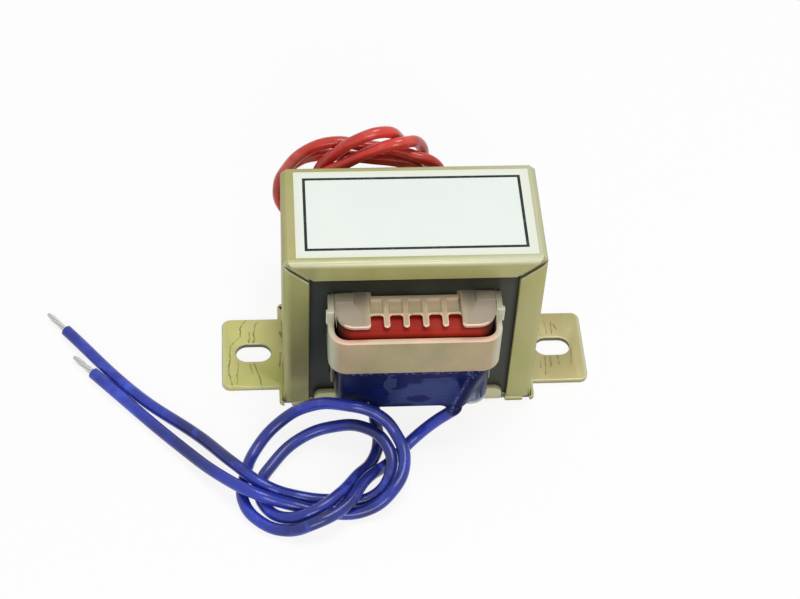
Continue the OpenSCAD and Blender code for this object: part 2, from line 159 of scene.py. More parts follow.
# %% [markdown]
# ## Nodes for the finishes
# Every finish is built from the same few parts: a noise that varies along the piece, a ramp
# that turns it into a mask, and a mix of two colours. They could be drawn as a graph by hand,
# but with a short word for each node a finish reads as a list of what happens to the surface.
# They all read Object coordinates, so a pattern is fixed to the piece and has its real scale.


# %% Helpers for materials
class Finish:
    """A material with a Principled shader, and short ways to feed it."""

    def __init__(self, name, colour, roughness, metallic=0.0, **sockets):
        self.material = bpy.data.materials.new(name)
        self.material.use_nodes = True
        self.tree = self.material.node_tree
        self.shader = self.tree.nodes["Principled BSDF"]
        self.place = self.node("ShaderNodeTexCoord").outputs["Object"]
        self.set("Base Color", (*colour, 1.0))
        self.set("Roughness", roughness)
        self.set("Metallic", metallic)
        for socket, value in sockets.items():
            self.set(socket.replace("_", " "), value)

    def node(self, kind, **settings):
        made = self.tree.nodes.new(kind)
        for name, value in settings.items():
            setattr(made, name, value)
        return made

    def set(self, socket, value):
        self.shader.inputs[socket].default_value = value

    def feed(self, value, socket):
        """Links another node's value to a socket, or sets a plain number there."""
        if isinstance(value, (int, float)):
            socket.default_value = value
        else:
            self.tree.links.new(value, socket)

    def stretched(self, *scale):
        """Object coordinates stretched along X, Y and Z, for runs and grain."""
        mapping = self.node("ShaderNodeMapping")
        mapping.inputs["Scale"].default_value = scale
        self.feed(self.place, mapping.inputs["Vector"])
        return mapping.outputs["Vector"]

    def noise(self, scale, detail, roughness=0.55, vector=None, distortion=0.0):
        made = self.node("ShaderNodeTexNoise")
        made.inputs["Scale"].default_value = scale
        made.inputs["Detail"].default_value = detail
        made.inputs["Roughness"].default_value = roughness
        made.inputs["Distortion"].default_value = distortion
        self.feed(vector or self.place, made.inputs["Vector"])
        return made.outputs["Fac"]

    def ramp(self, value, start, end, strength=1.0):
        """A mask that is 0 below start and rises to its strength at end."""
        made = self.node("ShaderNodeValToRGB")
        for element, position, grey in zip(made.color_ramp.elements, (start, end), (0.0, strength)):
            element.position = position
            element.color = (grey, grey, grey, 1.0)
        self.feed(value, made.inputs["Fac"])
        return made.outputs["Color"]

    def maths(self, operation, a, b=0.0):
        made = self.node("ShaderNodeMath", operation=operation)
        self.feed(a, made.inputs[0])
        self.feed(b, made.inputs[1])
        return made.outputs["Value"]

    def product(self, first, *others):
        """Several masks or numbers, multiplied."""
        for other in others:
            first = self.maths("MULTIPLY", first, other)
        return first

    def mix(self, factor, first, second):
        """Mixes two colours, each a tuple or another node's colour."""
        made = self.node("ShaderNodeMix", data_type="RGBA")
        self.feed(factor, made.inputs["Factor"])
        colours = [socket for socket in made.inputs if socket.type == "RGBA"]
        for value, socket in zip((first, second), colours):
            if isinstance(value, tuple):
                socket.default_value = (*value, 1.0)
            else:
                self.feed(value, socket)
        return next(out for out in made.outputs if out.type == "RGBA")

    def axis(self, letter):
        """One of the Object coordinates, in metres."""
        made = self.node("ShaderNodeSeparateXYZ")
        self.feed(self.place, made.inputs["Vector"])
        return made.outputs[letter]

    def spread(self, value, start, end, low=0.0, high=1.0):
        """Maps start..end of a value to low..high, and holds it there beyond them."""
        made = self.node("ShaderNodeMapRange")
        sockets = ("From Min", "From Max", "To Min", "To Max")
        for socket, number in zip(sockets, (start, end, low, high)):
            made.inputs[socket].default_value = number
        self.feed(value, made.inputs["Value"])
        return made.outputs["Result"]

    def along(self, letter, start, end, low=0.0, high=1.0):
        """A mask that goes from low to high between two places in millimetres on an axis."""
        return self.spread(self.axis(letter), start * MM, end * MM, low, high)

    def out(self, letter, start, end, low=0.0, high=1.0):
        """The same by the distance from the middle of the part, to both sides."""
        distance = self.maths("ABSOLUTE", self.axis(letter))
        return self.spread(distance, start * MM, end * MM, low, high)

    def colour(self, value):
        self.feed(value, self.shader.inputs["Base Color"])

    def roughness(self, value, low, high):
        """Lets the roughness wander between low and high with a mask."""
        self.feed(self.spread(value, 0.0, 1.0, low, high), self.shader.inputs["Roughness"])

    def bump(self, height, strength, distance):
        """Raises a pattern by a distance in millimetres."""
        made = self.node("ShaderNodeBump")
        made.inputs["Strength"].default_value = strength
        made.inputs["Distance"].default_value = distance * MM
        self.feed(height, made.inputs["Height"])
        self.feed(made.outputs["Normal"], self.shader.inputs["Normal"])


# %% [markdown]
# ## Plated steel
# Zinc plating with a yellow passivation has a thin glassy film, so its colour drifts between
# straw, olive and grey over a few millimetres. One flat yellow would look like paint, so two
# soft noises mix three tones, and a third, very fine one makes the grain of the sheet.


# %% Yellow zinc plating
def plated(name, straw, olive, pale, roughness):
    """The drifting tone of the film, on which each sheet then gets its own marks."""
    finish = Finish(name, straw, roughness, metallic=0.25, Specular_IOR_Level=0.35)
    clouds = finish.noise(85.0, 3.0, vector=finish.stretched(1.0, 1.0, 0.45))
    tone = finish.mix(finish.ramp(clouds, 0.38, 0.62), straw, olive)
    patches = finish.noise(30.0, 2.0, distortion=0.6)
    tone = finish.mix(finish.ramp(patches, 0.50, 0.68, 0.8), tone, pale)
    finish.roughness(clouds, roughness - 0.06, roughness + 0.1)
    finish.bump(finish.noise(900.0, 2.0), 0.12, 0.1)
    return finish, tone


# %% [markdown]
# On the frame the left of the front flange, turned from the light, carries painted shade, most of all
# low down, where it is nearly brown. The top carries painted light that grows towards the right, and
# its front bend is handled most and is worn bright. Masks along the three axes find these places, so
# that they follow the shape and need no texture painting.

# %% Frame plating
STRAW, OLIVE, PALE_STRAW = (0.42, 0.395, 0.16), (0.35, 0.355, 0.125), (0.43, 0.385, 0.185)
LEFT_FLANGE_SHADE, TOP_LIGHT_TO_RIGHT, WORN_BEND = (0.125, 0.112, 0.036), (0.53, 0.54, 0.37), (0.66, 0.66, 0.50)

frame_plating, tone = plated("plated_frame", STRAW, OLIVE, PALE_STRAW, 0.42)
left_flange = frame_plating.product(
    frame_plating.along("X", -24.4, -23.3),
    frame_plating.along("X", -19.5, -18.0, 1.0, 0.0),
    frame_plating.along("Y", -12.7, -12.5, 1.0, 0.0),
)
# Painted shade on the left of the front flange, darkest low down.
left_flange_shade = frame_plating.product(
    left_flange,
    frame_plating.along("Z", 14.0, 34.0, 0.85, 0.3),
    frame_plating.along("Z", 6.5, 10.0, 0.45, 1.0),
)
tone = frame_plating.mix(left_flange_shade, tone, LEFT_FLANGE_SHADE)
# Painted light on the top, growing towards the right.
top = frame_plating.along("Z", 41.0, 42.0)
right = frame_plating.along("X", -10.0, 24.0, 0.0, 0.75)
tone = frame_plating.mix(frame_plating.product(top, right), tone, TOP_LIGHT_TO_RIGHT)
bend = frame_plating.product(
    frame_plating.along("Y", -12.3, -11.4, 1.0, 0.0),
    frame_plating.along("Z", 41.2, 41.8),
    0.6,
)
frame_plating.colour(frame_plating.mix(bend, tone, WORN_BEND))

# %% [markdown]
# The rounded edges of the sheets are rubbed to a paler yellow. A mask by place can't follow an
# edge, so this is a material of its own, and the bevel that rounds the edges later hands it to
# the faces that it makes.

# %% Worn edges of the sheets
worn_edge = Finish("worn_frame_edge", (0.47, 0.45, 0.24), 0.42, metallic=0.25)
rubbed = worn_edge.ramp(worn_edge.noise(150.0, 3.0), 0.35, 0.65)
worn_edge.colour(worn_edge.mix(rubbed, (0.40, 0.38, 0.18), (0.56, 0.54, 0.35)))

# %% [markdown]
# ## Base plate
# Where the sheet was punched the film crazes: fine dark hairlines run out from the slots of the
# feet. A noise could scatter cracks anywhere, but these start at the slots, so each is a short
# line from one place to the next, in millimetres, with its width. A noise makes them waver and
# break. The right foot is tanned, the plate's ends are pale, and its lower faces carry painted shadow.

# %% Hairlines on the feet
HAIRLINES = [
    (-32.6, 8.8, -33.8, 6.9, 0.24), (-33.8, 6.9, -34.0, 4.4, 0.26), (-34.0, 4.4, -35.4, 2.6, 0.2),
    (-35.4, 2.6, -36.2, 0.1, 0.16), (-36.2, 0.1, -36.3, -3.0, 0.22), (-36.3, -3.0, -35.3, -8.4, 0.22),
    (-31.8, 2.6, -31.6, 5.5, 0.24), (-30.9, 2.6, -30.6, 5.3, 0.24), (-30.6, 5.3, -30.3, 8.1, 0.16),
    (-30.7, -3.0, -30.0, -6.3, 0.22), (-30.0, -6.3, -29.3, -8.8, 0.26), (-31.9, -3.0, -31.6, -5.5, 0.2),
    (-34.5, -2.5, -34.2, -8.1, 0.14), (-25.4, 4.2, -25.8, 5.4, 0.3), (-25.4, -0.2, -25.5, -3.7, 0.26),
    (29.3, -2.6, 28.8, -7.6, 0.18), (30.3, -2.6, 30.2, -5.4, 0.30), (31.8, -2.6, 31.8, -4.8, 0.26),
    (28.1, -4.2, 28.0, -5.7, 0.2), (31.3, 6.5, 31.2, 3.1, 0.16), (31.8, 5.9, 32.3, 4.4, 0.2),
    (34.8, -0.7, 34.3, -5.0, 0.16), (28.6, 5.5, 28.9, 3.0, 0.14), (29.9, 6.8, 30.2, 3.2, 0.14),
]
HAIRLINE_FADE = 0.3
plate_plating, tone = plated("plated_base", (0.60, 0.58, 0.20), (0.53, 0.54, 0.175), (0.60, 0.56, 0.25), 0.5)
sway = plate_plating.spread(plate_plating.noise(230.0, 3.0), 0.3, 0.7, -0.5 * MM, 0.5 * MM)
wander = plate_plating.product(sway, plate_plating.along("X", -5.0, 5.0, 1.0, 0.25))


def hairline(x0, y0, x1, y1, width):
    """Mask of one line on the plate, by how far each place is from it and beyond its ends."""
    line = plate_plating.along("Y", y0, y1, x0 * MM, x1 * MM)
    offset = plate_plating.maths("ADD", plate_plating.axis("X"), wander)
    offset = plate_plating.maths("ABSOLUTE", plate_plating.maths("SUBTRACT", offset, line))
    near = plate_plating.spread(offset, HAIRLINE_FADE * width * MM, width * MM, 1.0, 0.0)
    middle, half = (y0 + y1) / 2 * MM, abs(y1 - y0) / 2 * MM
    reach = plate_plating.maths("SUBTRACT", plate_plating.axis("Y"), middle)
    reach = plate_plating.maths("ABSOLUTE", reach)
    return plate_plating.product(
        near, plate_plating.spread(reach, half, half + HAIRLINE_FADE * MM, 1.0, 0.0)
    )


crazed = hairline(*HAIRLINES[0])
for row in HAIRLINES[1:]:
    crazed = plate_plating.maths("MAXIMUM", crazed, hairline(*row))
broken = plate_plating.spread(plate_plating.noise(900.0, 2.0), 0.35, 0.6, 0.35, 1.0)
crazed = plate_plating.product(crazed, broken, 0.85)
print("hairlines on the feet:", len(HAIRLINES))

# %% Base plate plating
TAN, PALE_TAN, CRACK = (0.385, 0.325, 0.155), (0.44, 0.39, 0.195), (0.15, 0.125, 0.035)
PALE_LIP, PALE_END, LOW_FACE_SHADOW = (0.52, 0.51, 0.38), (0.60, 0.60, 0.44), (0.11, 0.095, 0.04)

tanned = plate_plating.noise(150.0, 3.0, vector=plate_plating.stretched(1.0, 0.3, 1.0))
tanned = plate_plating.mix(plate_plating.ramp(tanned, 0.4, 0.6), TAN, PALE_TAN)
tone = plate_plating.mix(plate_plating.along("X", 10.0, 20.0, 0.0, 0.9), tone, tanned)
tone = plate_plating.mix(crazed, tone, CRACK)
tone = plate_plating.mix(plate_plating.along("Z", 1.3, 1.8, 0.0, 0.65), tone, PALE_LIP)
tone = plate_plating.mix(plate_plating.out("X", 36.6, 37.3, 0.0, 0.7), tone, PALE_END)
# Painted shadow on the lowest faces of the plate.
plate_plating.colour(plate_plating.mix(plate_plating.along("Z", 0.1, 0.7, 0.85, 0.0), tone, LOW_FACE_SHADOW))

# %% [markdown]
# ## Core steel
# The sheets are dark from annealing and from the varnish that the whole core was dipped in.
# The varnish is smooth, with thicker runs. Painted light makes the core's right side lighter, and
# painted shade darkens it where the frame, the bobbin and the base close it in. Those shadows are
# mixed into the colour, because the light that bounces in there on a real core is weaker than the
# even light of this scene.

# %% Varnished core steel
DARK_VARNISH, VARNISH, LIT_RIGHT_SIDE = (0.020, 0.025, 0.020), (0.038, 0.046, 0.038), (0.046, 0.047, 0.035)
UNDER_TOP, LOW_DOWN, TUCKED_IN = (0.022, 0.018, 0.009), (0.010, 0.012, 0.010), (0.006, 0.006, 0.004)

core = Finish("core_varnish", (0.035, 0.042, 0.042), 0.38, metallic=0.2, Specular_IOR_Level=0.3)
runs = core.noise(60.0, 3.0, vector=core.stretched(1.0, 1.0, 0.35))
tone = core.mix(core.ramp(runs, 0.4, 0.65), DARK_VARNISH, VARNISH)
# Painted light makes the right side lighter; the three mixes below paint shade under the top, low down and
# beside the side flanges.
tone = core.mix(core.along("X", 6.0, 18.0), tone, LIT_RIGHT_SIDE)
tone = core.mix(core.along("Z", 33.5, 36.5, 0.0, 0.8), tone, UNDER_TOP)
low_down = core.product(core.along("Z", 10.0, 20.0, 0.75, 0.0), core.along("X", -10.0, 16.0, 1.0, 0.35))
tone = core.mix(low_down, tone, LOW_DOWN)
core.colour(core.mix(core.out("X", 19.0, 19.8, 0.0, 0.85), tone, TUCKED_IN))
core.roughness(runs, 0.3, 0.46)
core.bump(core.noise(350.0, 2.0), 0.1, 0.1)

# %% [markdown]
# ## Moulded bobbin and covers
# Natural nylon is milky: light goes a little way in and comes out again, so thin edges glow
# with the colour of what lies behind them. Behind these edges lies the red tape. Subsurface
# scattering gives the milkiness, and the glow is painted: as patches in the colour, and as a
# second, warmer material for the edges, which also paints the light that they catch.


# %% Natural nylon
SHADE_NEAR_CORE, BLUISH = (0.10, 0.095, 0.055), (0.42, 0.50, 0.58)
NYLON_ROUGHNESS = 0.4
PALE_WIDTH = 1.6


def nylon(name, tone, shade, glow, glow_share, pale_from=None, pale=None):
    """Nylon in two tones with patches of painted glow, pale outwards from a place on X, and painted shade
    near the core.
    """
    finish = Finish(
        name, tone, NYLON_ROUGHNESS, Subsurface_Weight=0.3, Subsurface_Scale=1.0,
        Subsurface_Radius=(0.0022, 0.0012, 0.0008), Specular_IOR_Level=0.35,
    )
    clouds = finish.noise(130.0, 3.0)
    mottled = finish.mix(finish.ramp(clouds, 0.36, 0.66), tone, shade)
    patches = finish.ramp(finish.noise(95.0, 2.0, distortion=0.5), 0.42, 0.66, glow_share)
    mottled = finish.mix(patches, mottled, glow)
    if pale_from:
        mottled = finish.mix(finish.out("X", pale_from, pale_from + PALE_WIDTH), mottled, pale)
    # Painted shade on the pads near the core, under the frame.
    near_core_shade = finish.product(finish.out("Y", 12.4, 17.5, 0.62, 0.0), finish.out("X", 8.4, 9.2))
    mottled = finish.mix(near_core_shade, mottled, SHADE_NEAR_CORE)
    lower_pad = finish.product(
        finish.along("Z", 11.6, 12.4, 0.75, 0.0), finish.along("Y", -19.0, -17.0, 1.0, 0.0)
    )
    finish.colour(finish.mix(lower_pad, mottled, BLUISH))
    finish.roughness(clouds, NYLON_ROUGHNESS - 0.08, NYLON_ROUGHNESS + 0.08)
    finish.bump(finish.noise(600.0, 2.0), 0.1, 0.1)
    return finish.material


bobbin_nylon = nylon(
    "bobbin_nylon", (0.56, 0.45, 0.28), (0.48, 0.37, 0.23), (0.62, 0.43, 0.31), 0.5,
    8.3, (0.345, 0.285, 0.21),
)
cover_nylon = nylon(
    "cover_nylon", (0.395, 0.33, 0.182), (0.32, 0.275, 0.15), (0.45, 0.315, 0.20), 0.6,
    14.4, (0.50, 0.505, 0.36),
)
# The edge materials paint the glow from the red tape and the light that the free edges catch.
bobbin_edge_glow = nylon(
    "bobbin_painted_edge_glow", (0.92, 0.62, 0.50), (0.80, 0.56, 0.44), (0.95, 0.60, 0.52), 0.5
)
cover_edge_glow = nylon(
    "cover_painted_edge_glow", (0.80, 0.54, 0.40), (0.64, 0.50, 0.35), (0.90, 0.49, 0.39), 0.6,
    14.6, (0.58, 0.59, 0.44),
)

# %% [markdown]
# ## Paper label
# The label is white film with a printed black rectangle, and it yellows towards its rim. The
# rectangle is a thin raised piece of the CAD, so it stays sharp from near by. Its ink has soft,
# slightly broken edges.

# %% Label film and ink
paper = Finish("label_film", (0.80, 0.86, 0.82), 0.42, Specular_IOR_Level=0.3)
tint = paper.mix(paper.ramp(paper.noise(45.0, 2.0), 0.3, 0.7), (0.78, 0.84, 0.79), (0.83, 0.88, 0.82))
rim = paper.maths("MAXIMUM", paper.out("Y", 9.0, 10.6), paper.out("X", 20.5, 22.2))
paper.colour(paper.mix(paper.product(rim, 0.7), tint, (0.78, 0.80, 0.66)))
paper.bump(paper.noise(160.0, 2.0), 0.05, 0.1)

ink = Finish("label_ink", (0.010, 0.013, 0.013), 0.5, Specular_IOR_Level=0.2)
thin_ink = ink.ramp(ink.noise(900.0, 3.0), 0.45, 0.7)
ink.colour(ink.mix(thin_ink, (0.008, 0.011, 0.011), (0.045, 0.055, 0.052)))

# %% [markdown]
# ## Coil tape
# Thin polyester tape is wound round each coil. It is glossy, and it shows where it touches the
# turn below: there it is dark and saturated, and where air lies under it, it is pale. A broad
# noise makes these patches, and a fine one, drawn out along the tape, frays their borders.


# %% Polyester tape
def taped(name, deep, pale, gloss, patch_scale):
    finish = Finish(name, deep, gloss, Specular_IOR_Level=0.09)
    broad = finish.noise(patch_scale, 2.0, 0.5, finish.stretched(1.0, 1.0, 1.5), 0.8)
    fine = finish.noise(patch_scale * 5, 3.0, 0.6, finish.stretched(0.3, 0.3, 1.6))
    mask = finish.maths("ADD", finish.product(broad, 0.86), finish.product(fine, 0.14))
    finish.roughness(fine, gloss, gloss + 0.14)
    finish.bump(fine, 0.25, 0.3)
    return finish, finish.mix(finish.ramp(mask, 0.46, 0.50), deep, pale)


red_tape, tone = taped("tape_red", (0.31, 0.017, 0.009), (0.36, 0.025, 0.014), 0.38, 60.0)
# Painted shade on the tape's corners and sides.
corner_shade = red_tape.out("X", 11.9, 14.2, 0.0, 0.93)
red_tape.colour(red_tape.mix(corner_shade, tone, (0.030, 0.014, 0.008)))

# %% [markdown]
# The front of the blue tape is the most seen part of the coil. The first lead runs up under it,
# so the finish and the shape both read the same two places, the foot and the head of that ridge,
# in the plane of the tape. The largest patches are listed as ragged ovals, and the noise
# does the rest.

# %% Blue tape and its patches
RIDGE_FOOT, RIDGE_HEAD = Vector((8.3, 0, 9.6)), Vector((11.8, 0, 20.2))
TAPE_PATCHES_AND_SHADOW = [
    (3.5, 14.0, 6.0, 4.2, 0.8, (0.032, 0.046, 0.165)),
    (-4.6, 17.0, 1.3, 3.0, 0.7, (0.040, 0.055, 0.13)),
    (1.2, 12.2, 2.6, 1.2, 1.0, (0.006, 0.009, 0.085)),
    (-6.6, 13.0, 2.2, 3.2, 1.0, (0.006, 0.010, 0.075)),
    # The last oval is painted shadow along the top of the tape, below the cover.
    (2.0, 18.9, 7.0, 0.5, 1.0, (0.005, 0.008, 0.060)),
]

blue_tape, tone = taped("tape_blue", (0.005, 0.008, 0.070), (0.026, 0.037, 0.135), 0.22, 75.0)
# Painted shade on the left part of the tape.
tone = blue_tape.mix(blue_tape.along("X", -8.0, -3.5, 0.9, 0.0), tone, (0.004, 0.008, 0.045))
front = blue_tape.along("Y", -21.0, -20.5, 1.0, 0.0)


def tape_patch(x, z, half_x, half_z, strength):
    """Mask of one ragged oval on the front of the tape, in millimetres."""
    total = blue_tape.spread(blue_tape.noise(420.0, 3.0), 0.3, 0.7, -0.55, 0.55)
    for letter, centre, half in (("X", x, half_x), ("Z", z, half_z)):
        offset = blue_tape.maths("SUBTRACT", blue_tape.axis(letter), centre * MM)
        offset = blue_tape.maths("DIVIDE", offset, half * MM)
        total = blue_tape.maths("ADD", total, blue_tape.product(offset, offset))
    return blue_tape.product(front, blue_tape.spread(total, 0.75, 0.95, 1.0, 0.0), strength)


for *oval, shade in TAPE_PATCHES_AND_SHADOW:
    tone = blue_tape.mix(tape_patch(*oval), tone, shade)

# %% Blue tape beside the ridge, with a painted glint along the ridge and a painted highlight at the ragged top
lean = (RIDGE_HEAD.x - RIDGE_FOOT.x) / (RIDGE_HEAD.z - RIDGE_FOOT.z)
beyond = blue_tape.maths("SUBTRACT", blue_tape.axis("X"), blue_tape.product(blue_tape.axis("Z"), lean))
beyond = blue_tape.maths("SUBTRACT", beyond, (RIDGE_FOOT.x - RIDGE_FOOT.z * lean) * MM)

frayed = blue_tape.noise(700.0, 3.0, vector=blue_tape.stretched(1.0, 1.0, 0.35))
pale_corner = blue_tape.product(
    blue_tape.along("Z", 12.0, 15.0, 1.0, 0.0),
    blue_tape.spread(beyond, 1.1 * MM, 1.9 * MM),
    front,
    blue_tape.ramp(frayed, 0.40, 0.62, 0.85),
)
# Painted glint: a thin light line on the tape beside the ridge.
RIDGE_GLINT_LINE = -1.1 * MM
from_ridge_glint = blue_tape.maths("ABSOLUTE", blue_tape.maths("SUBTRACT", beyond, RIDGE_GLINT_LINE))
ridge_glint = blue_tape.product(
    front,
    blue_tape.spread(from_ridge_glint, 0.05 * MM, 0.35 * MM, 0.6, 0.0),
    blue_tape.ramp(blue_tape.noise(2600.0, 2.0), 0.45, 0.6),
)
ridge_band = blue_tape.product(front, blue_tape.spread(beyond, -1.2 * MM, -0.6 * MM))
# Painted highlight along the ragged top edge of the tape.
ragged_top_highlight = blue_tape.product(
    blue_tape.along("Z", 19.6, 20.1), blue_tape.ramp(blue_tape.noise(1400.0, 2.0), 0.5, 0.6, 0.55)
)
tone = blue_tape.mix(ridge_band, tone, (0.004, 0.007, 0.055))
tone = blue_tape.mix(ridge_glint, tone, (0.16, 0.19, 0.36))
tone = blue_tape.mix(pale_corner, tone, (0.22, 0.28, 0.42))
blue_tape.colour(blue_tape.mix(ragged_top_highlight, tone, (0.14, 0.16, 0.30)))

# %% [markdown]
# ## Insulation and wire
# The insulation of a flexible lead is soft plastic with a satin skin, which a clear coat gives
# better than roughness alone. It has cloudy shades and a faint bloom. The strands are tinned
# copper, and the windings are enamelled wire, of which little shows.


# %% Insulation, strands and wire
def insulation(name, tone, dark, light):
    finish = Finish(name, tone, 0.3, Coat_Weight=0.45, Coat_Roughness=0.12, Specular_IOR_Level=0.25)
    clouds = finish.noise(75.0, 3.0)
    shade = finish.mix(finish.ramp(clouds, 0.40, 0.62), dark, tone)
    bloom = finish.ramp(finish.noise(170.0, 3.0, distortion=0.4), 0.54, 0.72, 0.65)
    finish.colour(finish.mix(bloom, shade, light))
    finish.roughness(clouds, 0.22, 0.4)
    finish.bump(finish.noise(700.0, 2.0), 0.16, 0.2)
    return finish.material


blue_lead = insulation("lead_blue", (0.022, 0.042, 0.40), (0.012, 0.020, 0.16), (0.07, 0.12, 0.76))
red_lead = insulation("lead_red", (0.66, 0.050, 0.034), (0.46, 0.026, 0.016), (0.80, 0.16, 0.12))
tinned = Finish("tinned_strand", (0.60, 0.60, 0.57), 0.36, metallic=0.9)
tinned.bump(tinned.noise(1500.0, 3.0), 0.3, 0.1)
enamel = Finish("enamelled_wire", (0.42, 0.13, 0.05), 0.35, metallic=0.6)
enamel.bump(enamel.noise(300.0, 2.0, vector=enamel.stretched(0.1, 0.1, 6.0)), 0.4, 0.2)

# %% [markdown]
# ## Leads on their routes
# Both leads of a coil share one loose overhand loop, which keeps them together in the box. A
# lead could be simulated, but then it wouldn't lie as this one does. The routes are lists of
# places in millimetres, the same as in the CAD source, and a smooth curve runs through them.

# %% Routes
ROUTES = {
    "secondary_lead_1": [
        (7.6, -22.9, 9.6), (4, -23.2, 6.2), (0, -24.6, 2.7), (-4.3, -28.6, 1.4),
        (-9.5, -34.5, 3.9), (-14, -41.3, 4.5), (-20, -44.6, 3.9), (-25.3, -44.4, 1.6),
        (-30.3, -41.9, 1.3), (-33.4, -37, 1.3), (-33, -31, 1.3), (-30.8, -25, 1.6),
        (-26, -20.5, 4.3), (-20, -20, 8.7), (-13, -23.2, 12.7), (-7, -24.5, 11.2),
        (-3.4, -27, 8), (-2, -32, 5.9), (-5, -38.2, 4.2), (-10, -40.5, 1.8), (-17, -40.5, 1.4),
        (-23.5, -39.2, 2.3), (-30.8, -37.8, 4.6), (-37.5, -32.5, 3.3), (-45, -24.5, 1.7),
        (-63.5, -4.5, 1.3),
    ],
    "secondary_lead_2": [
        (-7.4, -18.6, 11.2), (-7.4, -19, 9), (-7.2, -20.9, 5.4), (-6.6, -24, 2.3),
        (-7.8, -28, 1.4), (-11.3, -33, 2.8), (-14.8, -38, 4.2), (-20, -41.8, 4),
        (-25.2, -41.8, 2), (-29, -38.8, 1.3), (-30.2, -34, 1.3), (-27.5, -28.5, 1.5),
        (-22, -23.5, 2.8), (-15.5, -22, 4.4), (-9.5, -23.5, 5.9), (-5.4, -27.5, 5.8),
        (-4.6, -32.6, 4.2), (-8.3, -37, 1.6), (-16, -37.5, 1.4), (-23, -36.5, 1.6),
        (-29, -35.5, 3.9), (-35, -30, 3.8), (-42, -21.5, 1.7), (-54, -11, 1.4), (-69.5, 7, 1.3),
    ],
    "primary_lead_1": [
        (7.4, 18.6, 31.2), (7.4, 19, 33.3), (5.8, 19.4, 36.1), (1.9, 20, 37.6),
        (-2.5, 21.6, 37.9), (-8, 22.6, 38.1), (-14, 23.2, 38.6), (-19.3, 23, 36.7),
        (-23.6, 23, 31.3), (-25.2, 23, 26), (-24.4, 22.3, 21.5), (-22.1, 20.3, 20.3),
        (-20, 18.4, 21.5), (-18.9, 17.6, 26), (-18.1, 17.5, 33.3), (-12.4, 18.7, 36.7),
        (-5, 19.4, 40.5), (-0.6, 19.8, 41.5), (2.9, 22.6, 38.6), (4.4, 24.6, 30), (5, 28, 9.5),
        (9.5, 33.5, 2), (16, 37, 1.4), (19, 43, 1.3),
    ],
    "primary_lead_2": [
        (3.7, 18.5, 31.6), (3.6, 19.5, 33), (2.2, 20.2, 34.7), (-1.5, 20.8, 35.4),
        (-6, 21.7, 35.3), (-11, 22.8, 35), (-17, 23.6, 34.6), (-21.5, 24.9, 31.5),
        (-24, 25.4, 26.5), (-23.2, 24.7, 22.3), (-21, 23, 21.2), (-18.8, 21.4, 22.3),
        (-17.8, 20.8, 27), (-17.2, 20.7, 33), (-14, 20.6, 37.8), (-9.2, 20.5, 42),
        (-4.6, 21.4, 42.9), (-1.2, 23.9, 39), (0.2, 25.2, 32), (-3, 28, 9.5), (-7, 33.5, 2),
        (-13, 37, 1.4), (-16, 43, 1.3),
    ],
}
LEAD_D = 2.4 * MM

# %% [markdown]
# A mesh tube would have to be swept round every bend. A curve does this by itself: its round
# section is its bevel, and each place becomes a knot whose handles Blender sets, so that the
# lead bends as evenly as its places allow.


# %% Curves for the leads
def lead_curve(name, points, material):
    data = bpy.data.curves.new(name, "CURVE")
    data.dimensions = "3D"
    data.resolution_u = 10
    data.bevel_depth = LEAD_D / 2
    data.bevel_resolution = 6
    data.use_fill_caps = True
    spline = data.splines.new("BEZIER")
    spline.bezier_points.add(len(points) - 1)
    for knot, place in zip(spline.bezier_points, points):
        knot.co = Vector(place) * MM
        knot.handle_left_type = knot.handle_right_type = "AUTO"
    data.materials.append(material)
    piece = bpy.data.objects.new(name, data)
    bpy.context.scene.collection.objects.link(piece)
    return piece


leads = {}
for node, points in ROUTES.items():
    material = blue_lead if node.startswith("secondary") else red_lead
    leads[node] = lead_curve("flexible_" + node, points, material)
print("leads:", ", ".join(leads))

# %% [markdown]
# ## Stripped ends
# Seven strands are twisted together and dipped in solder. One strand is made by extruding a
# small circle step by step and turning it about the bundle's axis each time, which gives the
# lay of the rope, and its last steps taper. A screw modifier would twist as well, but it can't
# taper. The other six strands lie round the middle one, a sixth of a circle apart.

# %% One strand
STRAND_R = 0.21 * MM
STRAND_PITCH_R = 1.9 * STRAND_R
TIP_LENGTH = 6.0 * MM
LAY_STEPS, TAPER_STEPS = 14, 3
LAY_TURN = math.radians(9)
TAPER = 0.86


def strand(offset):
    """A strand that stands on the ground plane and winds about the Z axis at an offset."""
    deselect_all()
    bpy.ops.mesh.primitive_circle_add(
        vertices=8, radius=STRAND_R, fill_type="NGON", location=(offset, 0, 0)
    )
    piece = bpy.context.object
    settle(piece)
    bpy.ops.object.mode_set(mode="EDIT")
    bpy.ops.mesh.select_all(action="SELECT")
    step = TIP_LENGTH / LAY_STEPS
    for i in range(1, LAY_STEPS + 1):
        middle = (0, 0, i * step)
        bpy.ops.mesh.extrude_region_move(TRANSFORM_OT_translate={"value": (0, 0, step)})
        bpy.ops.transform.rotate(value=LAY_TURN, orient_axis="Z", center_override=middle)
        if i > LAY_STEPS - TAPER_STEPS:
            bpy.ops.transform.resize(value=(TAPER, TAPER, 1), center_override=middle)
    bpy.ops.mesh.select_all(action="SELECT")
    bpy.ops.mesh.normals_make_consistent(inside=False)
    bpy.ops.object.mode_set(mode="OBJECT")
    return piece


